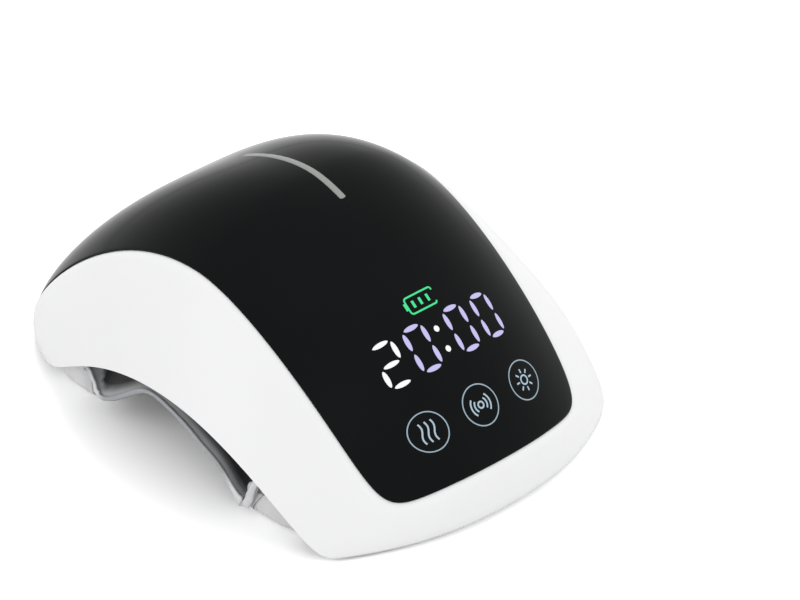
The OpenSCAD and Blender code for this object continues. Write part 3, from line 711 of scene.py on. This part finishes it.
# the lining is placed by q as in spot(), from "inner" to "outer", and hangs lower towards its hem
lining = {
    "around": 640, "rows": 46, "thickness": 0.0015, "inner": 0.42, "outer": 1.98, "rowPower": 0.85,
    "depth": 0.0282, "hemDepth": 0.0080,   # under the shell's surface, in the middle and at the hem
    "taperFrom": 0.85, "taperSpan": 1.13, "taperPower": 1.6,
    "dropFrom": 1.05, "dropSpan": 0.93, "dropPower": 1.7, "sideFrom": 0.55, "sideSpan": 0.35,
    # height of the hem by the place along the side: it dips to the floor beside each cushion
    "hem": ((-0.086, 0.0040), (-0.074, 0.0080), (-0.062, 0.0128), (-0.054, 0.0155), (-0.0475, 0.0165),
            (-0.0470, 0.0148), (-0.0457, 0.0100), (-0.0444, 0.0060), (-0.0428, 0.0040), (-0.0398, 0.0046),
            (-0.0368, 0.0076), (-0.0335, 0.0110), (-0.029, 0.0144), (-0.019, 0.0192), (-0.007, 0.0245),
            (0.002, 0.0264), (0.009, 0.0250), (0.020, 0.0172), (0.027, 0.0122), (0.033, 0.0090),
            (0.0365, 0.0086), (0.0388, 0.0108), (0.0410, 0.0145), (0.047, 0.0160), (0.054, 0.0132),
            (0.061, 0.0092), (0.070, 0.0052)),
    # place, spread and height of the gathers beside the cushions
    "gathers": ((-0.0425, 0.0042, 0.0008), (0.0380, 0.0040, 0.00025)), "foldWidth": 0.0029,
    "gatherFrom": 0.75, "gatherSpan": 0.2, "gatherPower": 3, "unevenness": 0.3, "unevenPace": 900,
    # scale, place in the noise and height of the loose cloth's ripples
    "ripples": ((38, 3.7, 0.0011), (95, 8.1, 0.0004)), "rippleFrom": 0.9, "rippleSpan": 0.5,
    "lowest": 0.0016,
    # how far above the hem the painted shade under the shell begins, and over how far it fades in, by the
    # place along the side
    "lightBand": ((-0.060, 0.016), (-0.030, 0.010), (0.010, 0.022), (0.030, 0.040), (0.0360, 0.050),
                  (0.0395, 0.150), (0.060, 0.150)),
    "fadeBand": ((-0.060, 0.060), (-0.030, 0.055), (0.010, 0.060), (0.030, 0.030), (0.060, 0.030)),
}
hem = {
    "around": 900, "sides": 8, "radius": 0.0006, "gathered": 0.0005, "lowest": 0.0003,
    "flat": 0.8, "tall": 1.5, "lift": 0.6,   # the roll's width, height and rise, in radii
    "archEnd": 0.037, "archFade": 0.006,     # where its colour changes along the side, from painted shade in the middle of the arch to its own light colour beside the cushions
    "ahead": 0.002, "fullAt": 0.06, "fullPower": 4,   # how far out the gathers thicken it
}


def tableAt(table, x):   # a smooth curve through the table's points
    if x <= table[0][0]:
        return table[0][1]
    for k, ((a, va), (b, vb)) in enumerate(zip(table, table[1:])):
        if x <= b:
            before = table[k - 1] if k > 0 else (a - 1, va)
            after = table[k + 2] if k + 2 < len(table) else (b + 1, vb)
            sa, sb = (vb - before[1]) / (b - before[0]), (after[1] - va) / (after[0] - a)
            h, u = b - a, (x - a) / (b - a)
            return ((2 * u ** 3 - 3 * u * u + 1) * va + (u ** 3 - 2 * u * u + u) * h * sa
                    + (3 * u * u - 2 * u ** 3) * vb + (u ** 3 - u * u) * h * sb)
    return table[-1][1]


def liningDepth(q):
    taper = (max(0, q - lining["taperFrom"]) / lining["taperSpan"]) ** lining["taperPower"]
    return lining["depth"] + (lining["hemDepth"] - lining["depth"]) * taper


def hemHeight(y, step=0.0005, reach=3):   # a mean of near places, so that the table's corners don't show
    offsets = range(-reach, reach + 1)
    return sum(tableAt(lining["hem"], y + step * k) for k in offsets) / len(offsets)


def gatherAt(y):
    return sum(high * math.exp(-((y - place) / wide) ** 2)
               * (1 + lining["unevenness"] * math.sin(y * lining["unevenPace"]))
               for place, wide, high in lining["gathers"])


def liningPoint(q, f):
    s, t = spot(q, f)
    p = sunk(skinPoint(s, t), liningDepth(q))
    hemS, hemT = spot(lining["outer"], f)
    end = sunk(skinPoint(hemS, hemT), lining["hemDepth"])
    edge = max(0, (q - lining["dropFrom"]) / lining["dropSpan"])
    beside = clamped((abs(hemS) - lining["sideFrom"]) / lining["sideSpan"])
    p.z += (hemHeight(end.y) - end.z) * edge ** lining["dropPower"] * beside
    inward = Vector((-p.x, -p.y, 0)).normalized()
    ripple = sum(noise.noise(Vector((p.x * scale, p.y * scale, at))) * high
                 for scale, at, high in lining["ripples"])
    p += inward * ripple * clamped((q - lining["rippleFrom"]) / lining["rippleSpan"])
    fold = gatherAt(end.y) * math.sin(end.y * 2 * math.pi / lining["foldWidth"] + edge)
    side = clamped((abs(hemS) - lining["gatherFrom"]) / lining["gatherSpan"])
    p -= inward * fold * side * edge ** lining["gatherPower"]
    p.z = max(p.z, lining["lowest"])
    return p


def hemPoint(u):
    return liningPoint(lining["outer"], 4 * u)


def liningRow(v):
    return lining["inner"] + (lining["outer"] - lining["inner"]) * v ** lining["rowPower"]


def makeLining():
    def place(u, v):
        return liningPoint(liningRow(v), 4 * u)

    def shade(u, v):   # 0 at the hem, 1 in the painted shade under the shell
        y = hemPoint(u).y
        above = lining["outer"] - liningRow(v) - tableAt(lining["lightBand"], y)
        return clamped(above / tableAt(lining["fadeBand"], y))
    bm = gridOf(lining["around"], lining["rows"], place, closed=True, shade=shade)
    thicken(bm, lining["thickness"], Vector((0, 0, 0)))
    piece = pieceFrom(bm, "lining", liningCloth, replaces=["fabric_liner"])


def makeHem():
    def place(u, v):
        centre = hemPoint(u)
        ahead = (hemPoint((u + hem["ahead"]) % 1) - hemPoint((u - hem["ahead"]) % 1)).normalized()
        out = ahead.cross(Vector((0, 0, 1))).normalized()
        over = out.cross(ahead).normalized()
        a = 2 * math.pi * v
        full = min(1, abs(centre.x) / hem["fullAt"]) ** hem["fullPower"]
        radius = hem["radius"] + min(hem["gathered"], gatherAt(centre.y)) * full
        across, up = hem["flat"] * math.cos(a), hem["tall"] * math.sin(a) + hem["lift"]
        p = centre + (out * across + over * up) * radius
        p.z = max(p.z, hem["lowest"])
        return p

    def shade(u, v):   # painted shade: 0 beside the cushions, 1 in the middle of the arch
        return clamped((hem["archEnd"] - abs(hemPoint(u).y)) / hem["archFade"])
    bm = gridOf(hem["around"], hem["sides"], place, closed=True, shade=shade)
    bmesh.ops.recalc_face_normals(bm, faces=bm.faces)
    pieceFrom(bm, "liningHem", hemCloth)


makeLining()
makeHem()
print("lining made")


def inflate(piece, pressure, frames, cap):   # cap is the furthest that a point may move
    scene = bpy.context.scene
    rest = [v.co.copy() for v in piece.data.vertices]
    swell = piece.modifiers.new("swell", "CLOTH")
    swell.settings.use_pressure = True
    swell.settings.uniform_pressure_force = pressure
    swell.settings.effector_weights.gravity = 0
    swell.point_cache.frame_start, swell.point_cache.frame_end = 1, frames
    for k in range(1, frames + 1):
        scene.frame_set(k)
    bpy.ops.object.modifier_apply(modifier="swell")
    scene.frame_set(1)
    for v, before in zip(piece.data.vertices, rest):
        move = v.co - before
        if move.length > cap:
            v.co = before + move * (cap / move.length)


cushions = {
    "voxel": 0.0020, "pressure": 4, "frames": 20, "cap": 0.0014,
    "around": 180, "rows": 26, "weld": 1e-4, "underside": 0.0003,
    "spread": 0.0005, "swelling": 0.0010,   # outline made this much wider, and height left to the swelling
    # half outlines at the floor from the middle of the inner edge to the middle of the outer edge
    "front": ((0, -0.0400), (0.030, -0.0393), (0.0595, -0.0350), (0.0632, -0.0354), (0.0643, -0.0378),
              (0.0644, -0.0500), (0.0634, -0.0600), (0.0615, -0.0668), (0.0560, -0.0705), (0.045, -0.0730),
              (0.030, -0.0750), (0.014, -0.0762), (0, -0.0766)),
    "rear": ((0, 0.0385), (0.030, 0.0380), (0.0470, 0.0372), (0.0540, 0.0390), (0.0575, 0.0425),
             (0.0593, 0.0480), (0.0595, 0.0540), (0.0585, 0.0610), (0.0560, 0.0665), (0.0490, 0.0695),
             (0.036, 0.0706), (0.018, 0.0709), (0, 0.0709)),
    "frontTall": 0.0122, "rearTall": 0.0142, "low": 0.0060,   # heights at the inner and outer edges
    "slopeFrom": 0.35,   # share of the way outwards at which the top begins to fall
    "lean": 0.0055,      # how far the inner side leans outwards at the top
    "sideFrom": 0.27, "sideSpan": 0.46, "round": 1.35, "spine": 0.80,
    "creases": (140, 60, 90), "creaseHeight": 0.0003, "smoothings": 2,
}


def outlineAt(points, u):   # u runs 0 to 1 on the right half and back on the left
    side, u = (1, 2 * u) if u < 0.5 else (-1, 2 - 2 * u)
    k = min(len(points) - 2, int(u * (len(points) - 1)))
    share = u * (len(points) - 1) - k
    (x0, y0), (x1, y1) = points[k], points[k + 1]
    return Vector((side * (x0 + (x1 - x0) * share), y0 + (y1 - y0) * share, 0))


def cushionMesh(points, tallest):
    inner, outer = points[0][1], points[-1][1]
    middle = Vector((0, (inner + outer) / 2, 0))

    def place(u, v):   # from the middle of the underside round the edge to the middle of the top
        edge = outlineAt(points, u)
        out = (edge - middle).normalized()
        r = min(1, cushions["round"] * math.sin(math.pi * v)) if 0 < v < 1 else 0
        spine = Vector((edge.x * cushions["spine"], middle.y, 0))
        p = spine + (edge + out * cushions["spread"] - spine) * r if v > 0 else spine
        span = clamped((p.y - inner) / (outer - inner))
        fall = max(0, span - cushions["slopeFrom"])
        tall = tallest + (cushions["low"] - tallest) * fall / (1 - cushions["slopeFrom"])
        rise = clamped((v - cushions["sideFrom"]) / cushions["sideSpan"])
        p.z = cushions["underside"] + (tall - cushions["swelling"]) * rise
        p.y += math.copysign(1, outer - inner) * cushions["lean"] * p.z / tallest * (1 - span)
        return p
    bm = gridOf(cushions["around"], cushions["rows"], place, closed=True)
    bmesh.ops.remove_doubles(bm, verts=bm.verts, dist=cushions["weld"])
    bmesh.ops.holes_fill(bm, edges=bm.edges, sides=0)
    bmesh.ops.recalc_face_normals(bm, faces=bm.faces)
    return bm


def makeCushion(name, node, points, tallest):
    piece = pieceFrom(cushionMesh(points, tallest), name, cushionCloth, replaces=[node])
    applied(piece, "REMESH", mode="VOXEL", voxel_size=cushions["voxel"])
    inflate(piece, cushions["pressure"], cushions["frames"], cushions["cap"])
    bm = bmesh.new()
    bm.from_mesh(piece.data)
    for _ in range(cushions["smoothings"]):
        bmesh.ops.smooth_vert(bm, verts=bm.verts, factor=0.5, use_axis_x=True, use_axis_y=True,
                              use_axis_z=True)
    for v in bm.verts:
        crease = noise.noise(Vector([c * k for c, k in zip(v.co, cushions["creases"])]))
        high = cushions["creaseHeight"]
        v.co += Vector((math.copysign(high, v.co.x) * crease, high * crease, 0))
        v.co.z = max(v.co.z, 0.0)
    bm.to_mesh(piece.data)
    bm.free()
    for p in piece.data.polygons:
        p.use_smooth = True
    finer = piece.modifiers.new("finer", "SUBSURF")
    finer.levels = finer.render_levels = 1
    return piece


frontCushion = makeCushion("frontCushion", "front_cushion", cushions["front"], cushions["frontTall"])
rearCushion = makeCushion("rearCushion", "rear_cushion", cushions["rear"], cushions["rearTall"])
print("cushions made")


pad = {
    "around": 220, "loop": 40, "thickness": 0.0062, "clearance": 0.0003,
    "inner": 0.30, "outer": 0.585,   # q of its two edges, as in spot()
    "channels": 10, "channelDepth": 0.32, "channelWidth": 0.10,
    "edgePower": 0.7, "topPower": 0.8,   # how square its section is
}


def padPlace(u, v):
    out, high = math.cos(2 * math.pi * v), math.sin(2 * math.pi * v)
    middle, half = (pad["inner"] + pad["outer"]) / 2, (pad["outer"] - pad["inner"]) / 2
    s, t = spot(middle + half * math.copysign(abs(out) ** pad["edgePower"], out), 4 * u)
    near = abs(((u * pad["channels"]) % 1) - 0.5) * 2
    puff = 1 - pad["channelDepth"] * math.exp(-((1 - near) / pad["channelWidth"]) ** 2)
    top = lining["depth"] + lining["thickness"] + pad["clearance"]
    depth = top if high >= 0 else top + pad["thickness"] * puff * (abs(high) ** pad["topPower"])
    return sunk(skinPoint(s, t), depth)


def makePad():
    bm = gridOf(pad["around"], pad["loop"], padPlace, closed=True)
    bmesh.ops.recalc_face_normals(bm, faces=bm.faces)
    piece = pieceFrom(bm, "kneePad", padCloth, replaces=["knee_pad"])


makePad()
print("knee pad made")


tapes = {
    "wide": 0.0030, "thick": 0.0005, "under": 0.0003, "foot": 0.0014, "leanPower": 1.3,
    "cord": 0.00016, "cordProud": 0.0002, "outside": 0.08, "nearEnd": 0.065,
    "grid": (8, 24), "cordGrid": (8, 40),
    # place along, lean to the top and height of each cushion's tape
    "front": (-0.0410, -0.0064, 0.0105), "rear": (0.0470, 0.0012, 0.0110),
}


def makeTape(name, node, cushion, thread, y0, lean, tall):
    skin = BVHTree.FromObject(cushion, bpy.context.evaluated_depsgraph_get())

    def at(side, off, v, proud):   # on the cushion's end, found from outside
        h = tapes["foot"] + (tall - tapes["foot"]) * v
        y = y0 + tapes["wide"] * off
        y += lean * (h / tall) ** tapes["leanPower"]
        hit = skin.ray_cast(Vector((side * tapes["outside"], y, h)), Vector((-side, 0, 0)))[0]
        hit = hit or skin.find_nearest(Vector((side * tapes["nearEnd"], y, h)))[0]
        return hit + Vector((side * proud, 0, 0))

    def cordAt(side, off, u, v):
        a = 2 * math.pi * u
        return at(side, off, v, tapes["cordProud"]) + Vector(
            (side * tapes["cord"] * math.cos(a), tapes["cord"] * math.sin(a), 0))
    tape, seams = bmesh.new(), bmesh.new()
    for side in (-1, 1):
        part = gridOf(*tapes["grid"], lambda u, v: at(side, u - 0.5, v, tapes["thick"]))
        thicken(part, tapes["thick"] + tapes["under"], Vector((0, y0, tall / 2)))
        join(tape, part)
        for off in (-0.5, 0.5):
            part = gridOf(*tapes["cordGrid"], lambda u, v: cordAt(side, off, u, v), closed=True)
            bmesh.ops.recalc_face_normals(part, faces=part.faces)
            join(seams, part)
    pieceFrom(tape, name, tapeCloth, replaces=[node])
    pieceFrom(seams, name + "Seams", thread)


makeTape("frontTape", "front_binding", frontCushion, seamThread, *tapes["front"])
makeTape("rearTape", "rear_binding", rearCushion, paleThread, *tapes["rear"])
print("tapes made")


light = {
    "ambient": 0.75, "seen": 1.0,   # the sky as it lights the object, and as camera, gloss and glass see it
    "floorSize": 4, "floorColour": 0.86, "floorSeen": 1.44, "floorLift": 0.04,
    "floorMirrored": 0.15,   # share of the change to floorSeen that gloss and glass see, so that it's white
    "aim": (0, 0, 0.03),
    # name, place, size and power
    "lamps": (
        ("keyLamp", (0.75, 0.55, 1.5), 1.1, 5.5),
        ("fillLamp", (-1.3, 0.2, 0.7), 1.2, 3.6),
        ("frontLamp", (-0.15, -1.35, 0.8), 1.2, 3.0),
        ("rightLamp", (1.3, -0.5, 0.8), 1.2, 2.0),
    ),
}


def seenDirectly(m, mirrored=1):   # 1 for rays of the camera, and mirrored for those of gloss and glass
    path = addNode(m, "ShaderNodeLightPath")
    direct = path.outputs["Is Camera Ray"]
    for ray in ("Is Glossy Ray", "Is Transmission Ray"):
        direct = maths(m, "MAXIMUM", direct, maths(m, "MULTIPLY", path.outputs[ray], mirrored))
    return direct


def makeFloor():
    bm = bmesh.new()
    bmesh.ops.create_grid(bm, x_segments=1, y_segments=1, size=light["floorSize"])
    floor = objectFrom(bm, "floor")
    m = finish("floorPale", (light["floorColour"],) * 3, 0.9, Specular_IOR_Level=0.0,
               Emission_Color=(1, 1, 1, 1))
    tint(m, seenDirectly(m, light["floorMirrored"]), (light["floorColour"],) * 3, (light["floorSeen"],) * 3)
    lift = maths(m, "MULTIPLY", seenDirectly(m), light["floorLift"])
    link(m, lift, surface(m).inputs["Emission Strength"])
    floor.data.materials.append(m)


def makeSky():
    world = bpy.data.worlds.new("studio")
    bpy.context.scene.world = world
    world.use_nodes = True
    sky = world.node_tree.nodes["Background"]
    sky.inputs["Color"].default_value = (1, 1, 1, 1)
    level = addNode(world, "ShaderNodeMix")
    level.inputs[2].default_value, level.inputs[3].default_value = light["ambient"], light["seen"]
    link(world, seenDirectly(world), level.inputs["Factor"])
    link(world, level.outputs[0], sky.inputs["Strength"])


def makeLamps():
    for name, place, size, power in light["lamps"]:
        data = bpy.data.lights.new(name, "AREA")
        data.shape, data.size, data.energy = "DISK", size, power
        lamp = bpy.data.objects.new(name, data)
        bpy.context.scene.collection.objects.link(lamp)
        lamp.location = place
        lamp.rotation_euler = (Vector(light["aim"]) - Vector(place)).to_track_quat("-Z", "Y").to_euler()
        lamp.visible_glossy = False


makeFloor()
makeSky()
makeLamps()
bpy.context.scene.view_settings.view_transform = "Standard"
print("stage made")

bpy.context.view_layer.update()
print("done")
